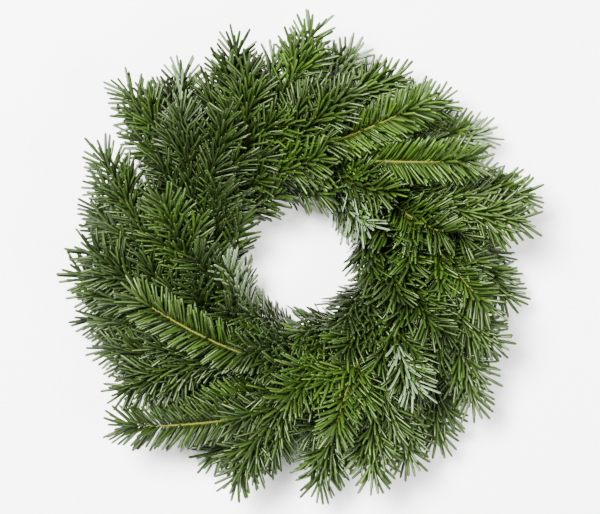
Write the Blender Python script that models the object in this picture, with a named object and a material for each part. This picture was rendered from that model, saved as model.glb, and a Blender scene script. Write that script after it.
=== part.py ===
"""Advent wreath of fir: sprays bound with wire to a straw ring, lying on its flat underside.

Metres, +Z up. The wreath's axis is the Z axis and the table is z = 0. A bearing is an angle round the
wreath in degrees, clockwise from +Y as seen from above. A lane is an angle round the straw tube, from 0
at its outermost line, over 90 on its crown, to 180 at its innermost line.
"""

import math
import random
from dataclasses import dataclass

import bpy
import numpy as np

MM = 0.001
UP = np.array([0.0, 0.0, 1.0])

# Straw ring: a round tube with a flat underside
RING_RADIUS = 88 * MM
TUBE_RADIUS = 22 * MM
TUBE_HEIGHT = 13 * MM  # of the tube's centre line above the table
RING_SECTIONS = 36

# Binding wire: one turn binds the cut ends of one station's sprays
WIRE_TURNS = 18
WIRE_RADIUS = 0.6 * MM
WIRE_LANES = (0, 28, 58, 90, 122, 155)
WIRE_LOW_LANE = 30  # how far below level the wire meets the underside
WIRE_OVER_STRAW = 0.9 * MM
WIRE_OVER_STEMS = 5.1 * MM
WIRE_BESIDE_STEMS = 3.8 * MM
TURN_STEP = 360 / WIRE_TURNS
STEP_OVER_TOP = 0.6 * TURN_STEP  # the rest of each step is made under the ring
GROOVE_WIDTH = 2.8 * MM
GROOVE_DEPTH = 2.1 * MM

# Twigs
STEM_HALF = 1.6 * MM
SEAT_GAP = 0.5 * MM
STEM_EACH_SIDE_OF_WIRE = 9 * MM
LEAVING_PITCH = {"low": 16, "mid": 18, "upper": 22, "crown": 24, "shoulder": 26, "inner": 34}
CORE_HALF_WIDTH = 3.0 * MM
CORE_TOP_HALF_WIDTH = 1.7 * MM
CORE_BELOW = 1.3 * MM
CORE_ABOVE = 1.7 * MM
CORE_REACH = 3.6 * MM  # clearance radius of a twig with its needle roots
BUD_LENGTH = 5 * MM
FORK_ANGLE = 40
FORK_SHARE = 0.56  # side twig over what is left of the main twig
SHORTEST_FORK = 20 * MM
UNFORKED = ("crown_17", "crown_00", "crown_09", "mid_08")  # sprays of one long shoot

# Needles
NEEDLE_LENGTH = 25 * MM
NEEDLE_ROOT = 1.5 * MM  # clearance radius at the root
NEEDLE_TIP = 0.2 * MM
WHORL_PITCH = 20 * MM
WHORL_BAND = 3.4 * MM
GAP = 0.35 * MM
FLOOR_GAP = 0.15 * MM
HOLE_RADIUS = 39 * MM
HOLE_Y = -3 * MM

LANES = {"low": 0, "mid": 28, "upper": 58, "crown": 90, "shoulder": 122, "inner": 155}

# Each spray: the wire turn that binds it, then its tip's bearing, distance from the axis and height in mm
TIPS = {
    "crown": (
        (17, 38, 160, 72), (0, 60, 160, 74), (2, 80, 119, 80), (4, 117, 122, 76), (5, 138, 138, 78),
        (6, 168, 140, 76), (7, 185, 112, 78), (9, 256, 135, 66), (12, 292, 118, 80), (13, 320, 150, 75),
        (14, 330, 126, 80), (15, 344, 157, 70), (16, 15, 136, 78),
    ),
    "upper": (
        (16, 3, 184, 56), (2, 80, 181, 52), (3, 104, 155, 60), (4, 113, 170, 46), (6, 161, 184, 50),
        (8, 196, 186, 50), (10, 233, 177, 50), (11, 272, 170, 58), (12, 297, 179, 60), (14, 314, 195, 50),
        (15, 343, 178, 56),
    ),
    "mid": (
        (0, 42, 172, 36), (2, 74, 191, 36), (4, 129, 184, 36), (6, 151, 185, 36), (7, 175, 184, 34),
        (8, 226, 197, 50), (10, 245, 173, 34), (11, 266, 181, 36), (14, 327, 179, 34), (17, 28, 168, 36),
    ),
    "low": (
        (17, 14, 173, 18), (1, 55, 180, 20), (3, 100, 174, 20), (5, 142, 187, 20), (8, 204, 178, 14),
        (11, 254, 177, 22), (12, 284, 172, 18), (14, 320, 174, 16),
    ),
    "shoulder": (
        (0, 50, 86, 70), (3, 110, 84, 70), (5, 152, 82, 68), (8, 210, 88, 70), (11, 270, 84, 72),
        (13, 310, 88, 68), (16, 10, 84, 70),
    ),
    "inner": (
        (0, 62, 60, 44), (2, 100, 60, 50), (4, 142, 62, 44), (6, 180, 62, 48), (8, 222, 62, 44),
        (10, 262, 60, 50), (12, 300, 58, 44), (14, 340, 57, 50), (16, 20, 57, 46),
    ),
}


def unit(vector):
    return vector / np.linalg.norm(vector)


def polar(radius, bearing, height):
    angle = math.radians(bearing)
    return np.array([radius * math.sin(angle), radius * math.cos(angle), height])


def on_straw(bearing, lane, height):
    """A point at a height above the straw."""
    angle = math.radians(lane)
    reach = TUBE_RADIUS + height
    return polar(RING_RADIUS + reach * math.cos(angle), bearing, TUBE_HEIGHT + reach * math.sin(angle))


def straw_normal(bearing, lane):
    angle = math.radians(lane)
    return polar(math.cos(angle), bearing, math.sin(angle))


def along_ring(bearing):
    """The direction of travel round the ring, clockwise."""
    angle = math.radians(bearing)
    return np.array([math.cos(angle), -math.sin(angle), 0.0])


def from_hole(points):
    """Distance of each point from the middle of the clear hole."""
    return np.hypot(points[..., 0], points[..., 1] - HOLE_Y)


def above_straw(points):
    """Distance of each point from the straw's surface."""
    radial = np.hypot(points[..., 0], points[..., 1]) - RING_RADIUS
    return np.hypot(radial, points[..., 2] - TUBE_HEIGHT) - TUBE_RADIUS


# Wire route


def wire_bearing(turn, lane):
    share = (lane + WIRE_LOW_LANE) / (180 + 2 * WIRE_LOW_LANE)
    return turn * TURN_STEP + share * STEP_OVER_TOP


def wire_route():
    """The wire's corners: over each lane of stems, and into a groove at both edges of the underside."""
    points = []
    for turn in range(WIRE_TURNS):
        heights = {-WIRE_LOW_LANE: WIRE_OVER_STRAW, WIRE_LANES[0] - 18: WIRE_BESIDE_STEMS}
        heights |= {lane: WIRE_OVER_STEMS for lane in WIRE_LANES}
        heights |= {WIRE_LANES[-1] + 18: WIRE_BESIDE_STEMS, 180 + WIRE_LOW_LANE: WIRE_OVER_STRAW}
        points += [on_straw(wire_bearing(turn, lane), lane, height) for lane, height in heights.items()]
    tail_share = 0.6
    first_again = on_straw(360, -WIRE_LOW_LANE, WIRE_OVER_STRAW)
    points.append(points[-1] + tail_share * (first_again - points[-1]))
    return np.array(points)


def groove_ends():
    """The two ends of each stretch of wire that crosses the underside."""
    inner_lane = 180 + WIRE_LOW_LANE
    for turn in range(WIRE_TURNS):
        yield (
            on_straw(wire_bearing(turn, inner_lane), inner_lane, WIRE_OVER_STRAW),
            on_straw((turn + 1) * TURN_STEP, -WIRE_LOW_LANE, WIRE_OVER_STRAW),
        )


# Room: what is already placed, as tapered rods, so that nothing new crosses it


class Room:
    def __init__(self):
        self.rods = np.empty((0, 8))
        self.owners = []

    def add(self, start, end, start_radius, end_radius, owner):
        row = np.concatenate([start, end, [start_radius, end_radius]])
        self.rods = np.vstack([self.rods, row])
        self.owners.append(owner)

    def clearance(self, start, end, start_radius, end_radius, skip):
        """The least gap from a tapered rod to those placed, leaving out the owners that skip names."""
        keep = np.array([not skip(owner) for owner in self.owners], bool)
        rods = self.rods[keep]
        if not len(rods):
            return 1.0
        axis, others = end - start, rods[:, 3:6] - rods[:, 0:3]
        between = start - rods[:, 0:3]
        a, e = axis @ axis, (others**2).sum(1)
        b, c, f = others @ axis, between @ axis, (others * between).sum(1)
        s = np.clip((b * f - c * e) / np.maximum(a * e - b * b, 1e-12), 0, 1)
        t = np.clip((b * s + f) / e, 0, 1)
        s = np.clip((b * t - c) / a, 0, 1)
        apart = np.linalg.norm(between + s[:, None] * axis - t[:, None] * others, axis=1)
        radii = start_radius + s * (end_radius - start_radius) + rods[:, 6] + t * (rods[:, 7] - rods[:, 6])
        return float((apart - radii).min())


# Twigs: where each one runs


@dataclass
class Twig:
    points: np.ndarray  # its centre line
    ups: np.ndarray  # towards the upper side of its comb of needles
    bare: int  # how many of the first points carry no needles
    forks_at: float = -1.0  # distance along it of its pair of side twigs, or under 0


def curve(start, heading, end, count):
    """A curve that leaves start along heading and ends at end."""
    middle = start + heading * 0.42 * np.linalg.norm(end - start)
    t = np.linspace(0, 1, count)[:, None]
    return (1 - t) ** 2 * start + 2 * t * (1 - t) * middle + t**2 * end


def lengths_along(points):
    return np.concatenate([[0.0], np.cumsum(np.linalg.norm(np.diff(points, axis=0), axis=1))])


def at_length(values, along, where):
    return np.array([np.interp(where, along, values[:, i]) for i in range(3)])


def main_twig(lane_name, turn, bearing, radius, height):
    """A spray's main twig: its cut end lies on the straw under the wire, then it rises to its tip."""
    lane = LANES[lane_name]
    seat = STEM_HALF + SEAT_GAP
    bound_at = wire_bearing(turn, lane)
    lane_radius = np.hypot(*on_straw(bound_at, lane, seat)[:2])
    swing = math.degrees(STEM_EACH_SIDE_OF_WIRE / lane_radius)
    bearings = [bound_at - swing, bound_at, bound_at + swing]
    seated = [on_straw(b, lane, seat) for b in bearings]
    pitch = math.radians(LEAVING_PITCH[lane_name])
    away = straw_normal(bearings[2], lane)
    heading = math.cos(pitch) * along_ring(bearings[2]) + math.sin(pitch) * away
    free = curve(seated[2], heading, polar(radius * MM, bearing, height * MM), 16)
    points = np.vstack([seated[:2], free])
    turning = np.clip(np.linspace(0, 1.5, len(free)), 0, 1)[:, None]
    ups = np.vstack([[straw_normal(b, lane) for b in bearings[:2]], (1 - turning) * away + turning * UP])
    return Twig(points, ups, bare=3)


def side_twig(main, fork, side, angle, tilt):
    """A side twig from the main one, on its right (side 1) or left (side -1)."""
    along = lengths_along(main.points)
    start = at_length(main.points, along, fork)
    tangent = unit(at_length(main.points, along, fork + 5 * MM) - start)
    up = at_length(main.ups, along, fork)
    up = unit(up - (up @ tangent) * tangent)
    right = np.cross(tangent, up)
    turn, rise = math.radians(angle), math.radians(tilt)
    heading = math.cos(turn) * tangent + math.sin(turn) * side * right
    heading = math.cos(rise) * heading + math.sin(rise) * up
    length = FORK_SHARE * (along[-1] - fork)
    end = start + length * unit(heading + 0.35 * tangent)
    points = curve(start, heading, end, 7)
    return Twig(points, np.tile(up, (len(points), 1)), bare=1)


def twig_rods(twig, first=0):
    return zip(twig.points[first:-1], twig.points[first + 1 :])


def twig_is_clear(room, twig, name, first=0):
    low = twig.points[first:]
    if low[:, 2].min() < CORE_REACH or from_hole(low).min() < HOLE_RADIUS + CORE_REACH:
        return False
    if above_straw(low[1:]).min() < CORE_REACH:
        return False
    same = lambda owner: owner[0] == name
    return all(
        room.clearance(a, b, CORE_REACH, CORE_REACH, same) > GAP for a, b in twig_rods(twig, first)
    )


def lay_main_twigs(room):
    """Every spray's main twig. A tip is raised or lowered until its twig clears those already laid."""
    sprays = {}
    for lane_name, tips in TIPS.items():
        for turn, bearing, radius, height in tips:
            name = f"spray_{lane_name}_{turn:02d}"
            for lift in (0, 4, -4, 8, -8, 12, -12, 16, -16, 20, 24):
                twig = main_twig(lane_name, turn, bearing, radius, height + lift)
                if twig_is_clear(room, twig, name, first=5):
                    break
            else:
                print("crosses another twig:", name)
            for a, b in twig_rods(twig):
                bare = above_straw(a) < STEM_HALF + 2 * SEAT_GAP
                reach = STEM_HALF if bare else CORE_REACH
                room.add(a, b, reach, reach, (name, "twig", 0, 0))
            sprays[name] = [twig]
    return sprays


def lay_side_twigs(room, sprays):
    """A pair of side twigs on each long main twig, bent to where there is room for them."""
    for name, twigs in sprays.items():
        if name.removeprefix("spray_") in UNFORKED:
            continue
        main = twigs[0]
        along = lengths_along(main.points)
        bare = along[main.bare - 1]
        fork = bare + 0.36 * (along[-1] - bare)
        if FORK_SHARE * (along[-1] - fork) < SHORTEST_FORK:
            continue
        main.forks_at = fork
        for side in (1, -1):
            for angle, tilt in ((0, 0), (0, 12), (-10, 8), (-10, -8), (8, 20), (-16, 20), (-16, -16), (-22, 28)):
                twig = side_twig(main, fork, side, FORK_ANGLE + angle, tilt)
                if twig_is_clear(room, twig, name, first=1):
                    break
            else:
                twigs.append(None)
                continue
            for a, b in twig_rods(twig):
                room.add(a, b, CORE_REACH, CORE_REACH, (name, "twig", side, 0))
            twigs.append(twig)


# Spray skin: one closed surface, grown ring by ring, with needles raised from its faces

# Corners of a twig's section, as shares of (half width, height): right low, right high, left high, left low
RIGHT, TOP, LEFT, BELOW = range(4)

# For each face of a twig, its two needles: angle round the twig from its right side, lean from the
# twig's direction, and share of full length. The first grows nearer the face's first corner.
NEEDLES = {
    RIGHT: ((-14, 66, 1.0), (12, 58, 1.0)),
    TOP: ((48, 50, 0.86), (132, 50, 0.86)),
    LEFT: ((168, 58, 1.0), (194, 66, 1.0)),
    BELOW: ((212, 56, 0.86), (-32, 56, 0.86)),
}


class Skin:
    def __init__(self):
        self.points = []
        self.faces = []

    def ring(self, centre, tangent, up, size, bare=False):
        """Four corners round a twig, in the order of the section."""
        up = unit(up - (up @ tangent) * tangent)
        right = np.cross(tangent, up)
        wide, top, below, above = CORE_HALF_WIDTH, CORE_TOP_HALF_WIDTH, CORE_BELOW, CORE_ABOVE
        if bare:
            wide = top = below = above = STEM_HALF
        first = len(self.points)
        for across, high in ((wide, -below), (top, above), (-top, above), (-wide, -below)):
            self.points.append(centre + size * (across * right + high * up))
        return [first, first + 1, first + 2, first + 3]

    def side(self, ring_a, ring_b, face):
        a, b = ring_a[face], ring_a[(face + 1) % 4]
        return [a, b, ring_b[(face + 1) % 4], ring_b[face]]

    def bridge(self, ring_a, ring_b, leave_open=()):
        for face in range(4):
            if face not in leave_open:
                self.faces.append(self.side(ring_a, ring_b, face))

    def raise_point(self, corners, tip):
        """A spike on a face: its corners joined to a new point."""
        self.points.append(tip)
        top = len(self.points) - 1
        for i, corner in enumerate(corners):
            self.faces.append([corner, corners[(i + 1) % len(corners)], top])


def needle_options(angle, lean, length):
    """A needle's own place first, then nearby ones for where something is in its way."""
    for turn, bend, share in (
        (0, 0, 1), (0, 10, 1), (12, 0, 1), (-12, 0, 1), (0, -14, 1), (16, 14, 1), (-16, 14, 1),
        (20, -12, 0.9), (-20, -12, 0.9), (0, 0, 0.8), (0, -26, 0.9), (0, 0, 0.64),
    ):
        yield angle + turn, lean + bend, length * share


def needle_is_clear(room, root, tip, owner):
    name, kind, twig, whorl = owner
    start = root + 0.12 * (tip - root)
    samples = root + np.linspace(0.3, 1, 6)[:, None] * (tip - root)
    if tip[2] < FLOOR_GAP + NEEDLE_TIP or from_hole(tip) < HOLE_RADIUS:
        return False
    if above_straw(samples).min() < NEEDLE_TIP + 2 * GAP:
        return False

    def other_spray(o):
        return o[0] == name

    def same_whorl_or_twig(o):
        return o[0] != name or (o[2] == twig and (o[1] == "twig" or o[3] == whorl))

    if room.clearance(start, tip, NEEDLE_ROOT, NEEDLE_TIP, other_spray) < GAP:
        return False
    outer = root + 0.35 * (tip - root)
    return room.clearance(outer, tip, NEEDLE_ROOT * 0.7, NEEDLE_TIP, same_whorl_or_twig) > GAP


def raise_needles(skin, room, ring_a, ring_b, frame, owner, spread, rng, leave_open):
    """Two needles on each face of a band, each in the first place near its own that is free."""
    tangent, up, right = frame
    for face in range(4):
        if face in leave_open:
            continue
        a, b, c, d = skin.side(ring_a, ring_b, face)
        for corners, (angle, lean, share) in zip(([a, c, d], [a, b, c]), NEEDLES[face]):
            root = sum(skin.points[i] for i in corners) / 3
            angle += rng.uniform(-7, 7)
            lean = lean * spread + rng.uniform(-6, 6)
            length = NEEDLE_LENGTH * share * rng.uniform(0.88, 1.08)
            for turned, leant, long in needle_options(angle, lean, length):
                around, off = math.radians(turned), math.radians(leant)
                outward = math.cos(around) * right + math.sin(around) * up
                tip = root + long * (math.cos(off) * tangent + math.sin(off) * outward)
                if needle_is_clear(room, root, tip, owner):
                    room.add(root, tip, NEEDLE_ROOT, NEEDLE_TIP, owner)
                    skin.raise_point(corners, tip)
                    break
            else:
                skin.faces.append(corners)


def grow(skin, room, twig, start_ring, name, number, rng):
    """Grows one twig from a ring of four corners, with its whorls of needles, and ends it in a bud.
    Returns the rings of its fork, if it has one."""
    along = lengths_along(twig.points)
    end = along[-1]
    fork_rings = None

    def frame_at(where):
        here = at_length(twig.points, along, where)
        ahead = at_length(twig.points, along, min(where + 2 * MM, end))
        behind = at_length(twig.points, along, max(where - 2 * MM, 0))
        tangent = unit(ahead - behind)
        up = at_length(twig.ups, along, where)
        up = unit(up - (up @ tangent) * tangent)
        return here, tangent, up

    ring = start_ring
    for i in range(1, twig.bare):
        centre, tangent, up = frame_at(along[i])
        new = skin.ring(centre, tangent, up, 1.0, bare=True)
        skin.bridge(ring, new)
        ring = new
    first = along[twig.bare - 1] + (9 * MM if number == 0 else 12 * MM)
    room_for = end - WHORL_BAND - 4 * MM - first
    count = max(0, round(room_for / WHORL_PITCH)) + 1
    starts = list(np.linspace(first, first + room_for, count))
    forked = None
    if twig.forks_at > 0:
        forked = int(np.argmin([abs(s - twig.forks_at) for s in starts]))
        starts[forked] = twig.forks_at - WHORL_BAND / 2
    for whorl, start in enumerate(starts):
        size = 1.0 - 0.4 * start / end
        centre_a, tangent_a, up_a = frame_at(start)
        centre_b, tangent_b, up_b = frame_at(start + WHORL_BAND)
        ring_a = skin.ring(centre_a, tangent_a, up_a, size)
        ring_b = skin.ring(centre_b, tangent_b, up_b, size)
        skin.bridge(ring, ring_a)
        leave_open = (RIGHT, LEFT) if whorl == forked else ()
        if whorl == forked:
            fork_rings = (ring_a, ring_b)
        spread = 1.0 - 0.35 * (whorl / max(1, len(starts) - 1)) ** 2
        frame = (tangent_a, up_a, np.cross(tangent_a, up_a))
        owner = (name, "needle", number, whorl)
        raise_needles(skin, room, ring_a, ring_b, frame, owner, spread, rng, leave_open)
        ring = ring_b
    centre, tangent, _ = frame_at(end)
    skin.raise_point(ring, centre + BUD_LENGTH * tangent)
    return fork_rings


def build_spray(name, twigs, room, material):
    rng = random.Random(name)
    skin = Skin()
    main = twigs[0]
    tangent = unit(main.points[1] - main.points[0])
    cut_end = skin.ring(main.points[0], tangent, main.ups[0], 1.0, bare=True)
    skin.faces.append(cut_end[::-1])
    fork_rings = grow(skin, room, main, cut_end, name, 0, rng)
    if fork_rings:
        ring_a, ring_b = fork_rings
        for side, face, twig in ((1, RIGHT, twigs[1]), (-1, LEFT, twigs[2])):
            corners = skin.side(ring_a, ring_b, face)
            if twig is None:
                skin.faces.append(corners)
                continue
            back_first, back_second, front_second, front_first = corners
            # The side twig's right is behind it on the right side of the spray, and ahead on the left
            ring = {
                RIGHT: [back_first, back_second, front_second, front_first],
                LEFT: [front_second, front_first, back_first, back_second],
            }[face]
            grow(skin, room, twig, ring, name, side, rng)
    add_object(name, skin.points, skin.faces, material)


# Objects


def add_object(name, points, faces, material):
    mesh = bpy.data.meshes.new(name)
    mesh.from_pydata([tuple(p) for p in points], [], faces)
    mesh.validate()
    mesh.materials.append(material)
    obj = bpy.data.objects.new(name, mesh)
    bpy.context.scene.collection.objects.link(obj)
    return obj


def finish_material(name, colour, roughness, metallic=0.0):
    material = bpy.data.materials.new(name)
    material.use_nodes = True
    shader = material.node_tree.nodes["Principled BSDF"]
    shader.inputs["Base Color"].default_value = (*colour, 1)
    shader.inputs["Roughness"].default_value = roughness
    shader.inputs["Metallic"].default_value = metallic
    return material


def build_straw_ring(material):
    """The straw tube, with a groove pressed across its underside by each turn of wire."""
    flat_lane = math.degrees(math.asin(TUBE_HEIGHT / TUBE_RADIUS))
    lanes = (-flat_lane, 0, 30, 60, 90, 120, 150, 182, 180 + flat_lane)
    points, faces = [], []
    for section in range(RING_SECTIONS):
        bearing = 360 * section / RING_SECTIONS
        points += [on_straw(bearing, lane, 0) for lane in lanes]
        for i in range(len(lanes)):
            here, ahead = section * len(lanes), (section + 1) % RING_SECTIONS * len(lanes)
            beside = (i + 1) % len(lanes)
            faces.append([here + i, here + beside, ahead + beside, ahead + i])
    ring = add_object("straw_ring", points, faces, material)
    grooves = bpy.data.collections.new("grooves")
    bpy.context.scene.collection.children.link(grooves)
    grooves.hide_render = True
    for inner, outer in groove_ends():
        overrun = unit(outer - inner) * 5 * MM
        across = unit(np.cross(UP, outer - inner)) * GROOVE_WIDTH / 2
        corners = []
        for z in (-GROOVE_DEPTH, GROOVE_DEPTH):
            for end in (inner - overrun, outer + overrun):
                for side in (across, -across):
                    corners.append([*(end + side)[:2], z])
        box = [[0, 1, 3, 2], [4, 6, 7, 5], [0, 4, 5, 1], [2, 3, 7, 6], [0, 2, 6, 4], [1, 5, 7, 3]]
        cutter = add_object("groove", corners, box, material)
        cutter.hide_render = True
        cutter.display_type = "WIRE"
        bpy.context.scene.collection.objects.unlink(cutter)
        grooves.objects.link(cutter)
        turn_outwards(cutter)
    cut = ring.modifiers.new("grooves", "BOOLEAN")
    cut.operation = "DIFFERENCE"
    cut.operand_type = "COLLECTION"
    cut.collection = grooves
    turn_outwards(ring)


def build_wire(route, material):
    """A three-sided wire through the route's corners."""
    sides = 3
    tangents = np.gradient(route, axis=0)
    points, faces = [], []
    for i, (centre, tangent) in enumerate(zip(route, tangents)):
        tangent = unit(tangent)
        ring_centre = polar(RING_RADIUS, math.degrees(math.atan2(centre[0], centre[1])), TUBE_HEIGHT)
        out = centre - ring_centre
        out = unit(out - (out @ tangent) * tangent)
        right = np.cross(tangent, out)
        for k in range(sides):
            angle = 2 * math.pi * k / sides
            points.append(centre + WIRE_RADIUS * (math.cos(angle) * out + math.sin(angle) * right))
            if i:
                a, b = (i - 1) * sides + k, (i - 1) * sides + (k + 1) % sides
                faces.append([a, b, b + sides, a + sides])
    faces.append([2, 1, 0])
    faces.append([len(points) - 3, len(points) - 2, len(points) - 1])
    turn_outwards(add_object("binding_wire", points, faces, material))


def turn_outwards(obj):
    """Makes every face of a closed mesh point out."""
    bpy.context.view_layer.objects.active = obj
    mesh = obj.data
    corners = np.array([v.co for v in mesh.vertices])
    volume = 0.0
    for polygon in mesh.polygons:
        fan = [corners[i] for i in polygon.vertices]
        for b, c in zip(fan[1:], fan[2:]):
            volume += fan[0] @ np.cross(b, c)
    if volume < 0:
        mesh.flip_normals()


def main():
    for obj in list(bpy.data.objects):
        bpy.data.objects.remove(obj)
    fir = finish_material("fir_needles", (0.045, 0.125, 0.028), 0.45)
    straw = finish_material("straw", (0.55, 0.42, 0.2), 0.85)
    enamel = finish_material("green_wire", (0.03, 0.09, 0.05), 0.35, metallic=0.6)
    build_straw_ring(straw)
    route = wire_route()
    build_wire(route, enamel)
    room = Room()
    for a, b in zip(route[:-1], route[1:]):
        room.add(a, b, WIRE_RADIUS, WIRE_RADIUS, ("binding_wire", "wire", 0, 0))
    sprays = lay_main_twigs(room)
    lay_side_twigs(room, sprays)
    for name, twigs in sprays.items():
        build_spray(name, twigs, room, fir)
    for obj in bpy.context.scene.objects:
        if obj.name.startswith("spray_"):
            turn_outwards(obj)


main()
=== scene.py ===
# %% [markdown]
# # A fir wreath, needle by needle
#
# The wreath is a ring of pressed straw with 58 cut fir sprays wired to it. The CAD frame holds every
# spray as a coarse solid: a slim core with a few needles. Here each spray is grown again on the same
# twigs with all its needles, which is what makes it look like fir.

# %% Load the CAD frame
import math
from dataclasses import dataclass

import bpy
import numpy as np
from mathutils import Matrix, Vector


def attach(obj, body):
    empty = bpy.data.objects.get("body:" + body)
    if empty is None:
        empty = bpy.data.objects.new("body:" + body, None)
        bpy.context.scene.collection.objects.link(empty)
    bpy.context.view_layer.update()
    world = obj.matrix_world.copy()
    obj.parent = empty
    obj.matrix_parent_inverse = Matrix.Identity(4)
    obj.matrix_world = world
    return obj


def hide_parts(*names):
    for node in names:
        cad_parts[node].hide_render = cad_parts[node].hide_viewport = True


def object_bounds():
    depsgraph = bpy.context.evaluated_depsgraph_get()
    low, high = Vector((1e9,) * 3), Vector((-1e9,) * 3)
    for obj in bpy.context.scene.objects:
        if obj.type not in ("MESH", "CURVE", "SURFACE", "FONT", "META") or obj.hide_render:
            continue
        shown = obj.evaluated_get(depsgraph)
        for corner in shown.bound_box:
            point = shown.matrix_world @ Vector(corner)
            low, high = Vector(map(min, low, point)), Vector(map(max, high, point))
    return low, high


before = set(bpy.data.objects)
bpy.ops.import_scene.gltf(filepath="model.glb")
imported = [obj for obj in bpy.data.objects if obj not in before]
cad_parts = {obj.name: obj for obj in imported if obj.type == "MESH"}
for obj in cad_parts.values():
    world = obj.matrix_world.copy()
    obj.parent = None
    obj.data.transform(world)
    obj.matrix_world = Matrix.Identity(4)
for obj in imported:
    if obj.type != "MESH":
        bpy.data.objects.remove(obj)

MM = 0.001
UP = np.array([0.0, 0.0, 1.0])
CAD_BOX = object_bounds()
print("CAD nodes:", len(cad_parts))

# %% [markdown]
# ## The straw ring as a set of coordinates
#
# Everything on a wreath is placed round the ring, so two angles and a height are handier than x, y and
# z. A bearing runs clockwise round the wreath from the top of the photo. A lane runs round the straw
# tube, from 0 at its outermost line, over 90 on the crown, to 180 at its innermost line.

# %% Ring coordinates
RING_RADIUS = 88 * MM
TUBE_RADIUS = 22 * MM
TUBE_HEIGHT = 13 * MM  # of the tube's centre line above the table


def unit(vectors):
    return vectors / np.linalg.norm(vectors, axis=-1, keepdims=True)


def polar(radius, bearing, height):
    angle = math.radians(bearing)
    return np.array([radius * math.sin(angle), radius * math.cos(angle), height])


def on_straw(bearing, lane, height):
    angle = math.radians(lane)
    reach = TUBE_RADIUS + height
    return polar(RING_RADIUS + reach * math.cos(angle), bearing, TUBE_HEIGHT + reach * math.sin(angle))


def straw_normal(bearing, lane):
    angle = math.radians(lane)
    return polar(math.cos(angle), bearing, math.sin(angle))


def along_ring(bearing):
    """The direction of travel round the ring, clockwise."""
    angle = math.radians(bearing)
    return np.array([math.cos(angle), -math.sin(angle), 0.0])


def above_straw(points):
    """Distance of each point from the straw's surface."""
    radial = np.hypot(points[..., 0], points[..., 1]) - RING_RADIUS
    return np.hypot(radial, points[..., 2] - TUBE_HEIGHT) - TUBE_RADIUS


print("straw ring:", round(2 * (RING_RADIUS + TUBE_RADIUS) / MM), "mm wide")

# %% [markdown]
# ## Where the wire runs
#
# A binder works with one long wire: a few twigs are laid on the straw, the wire goes once round them
# and the ring, and the next twigs cover that turn. So the wire is a helix of 18 turns. It rises over
# each lane of stems and lies in a shallow groove under the ring.

# %% Wire route
WIRE_TURNS = 18
WIRE_LANES = (0, 28, 58, 90, 122, 155)
WIRE_LOW_LANE = 30  # how far below level the wire meets the underside
WIRE_RUN_OUT = 18  # degrees of lane in which it comes down from the stems
WIRE_RADIUS = 0.6 * MM
WIRE_OVER_STRAW = 0.9 * MM
WIRE_OVER_STEMS = 5.1 * MM
WIRE_BESIDE_STEMS = 3.8 * MM
WIRE_CLOSES_BY = 0.6  # share of the way from its end back to its start
TURN_STEP = 360 / WIRE_TURNS
STEP_OVER_TOP = 0.6 * TURN_STEP


def wire_bearing(turn, lane):
    share = (lane + WIRE_LOW_LANE) / (180 + 2 * WIRE_LOW_LANE)
    return turn * TURN_STEP + share * STEP_OVER_TOP


def wire_route():
    heights = {-WIRE_LOW_LANE: WIRE_OVER_STRAW, WIRE_LANES[0] - WIRE_RUN_OUT: WIRE_BESIDE_STEMS}
    heights |= {lane: WIRE_OVER_STEMS for lane in WIRE_LANES}
    heights |= {WIRE_LANES[-1] + WIRE_RUN_OUT: WIRE_BESIDE_STEMS, 180 + WIRE_LOW_LANE: WIRE_OVER_STRAW}
    points = [
        on_straw(wire_bearing(turn, lane), lane, height)
        for turn in range(WIRE_TURNS)
        for lane, height in heights.items()
    ]
    first_again = on_straw(360, -WIRE_LOW_LANE, WIRE_OVER_STRAW)
    points.append(points[-1] + WIRE_CLOSES_BY * (first_again - points[-1]))
    return np.array(points)


route = wire_route()
print("wire:", round(float(np.linalg.norm(np.diff(route, axis=0), axis=1).sum()), 2), "m long")

# %% [markdown]
# ## Where each spray ends
#
# The tips are the same named values as in the CAD, read off the photo: the wire turn that binds the
# spray, then its tip's bearing, distance from the axis and height in mm. Most sprays fork, as a cut fir
# branch does. Four are one long shoot, and these and three more lie so that the comb of needles shows a
# bare stem in its parting.

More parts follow.
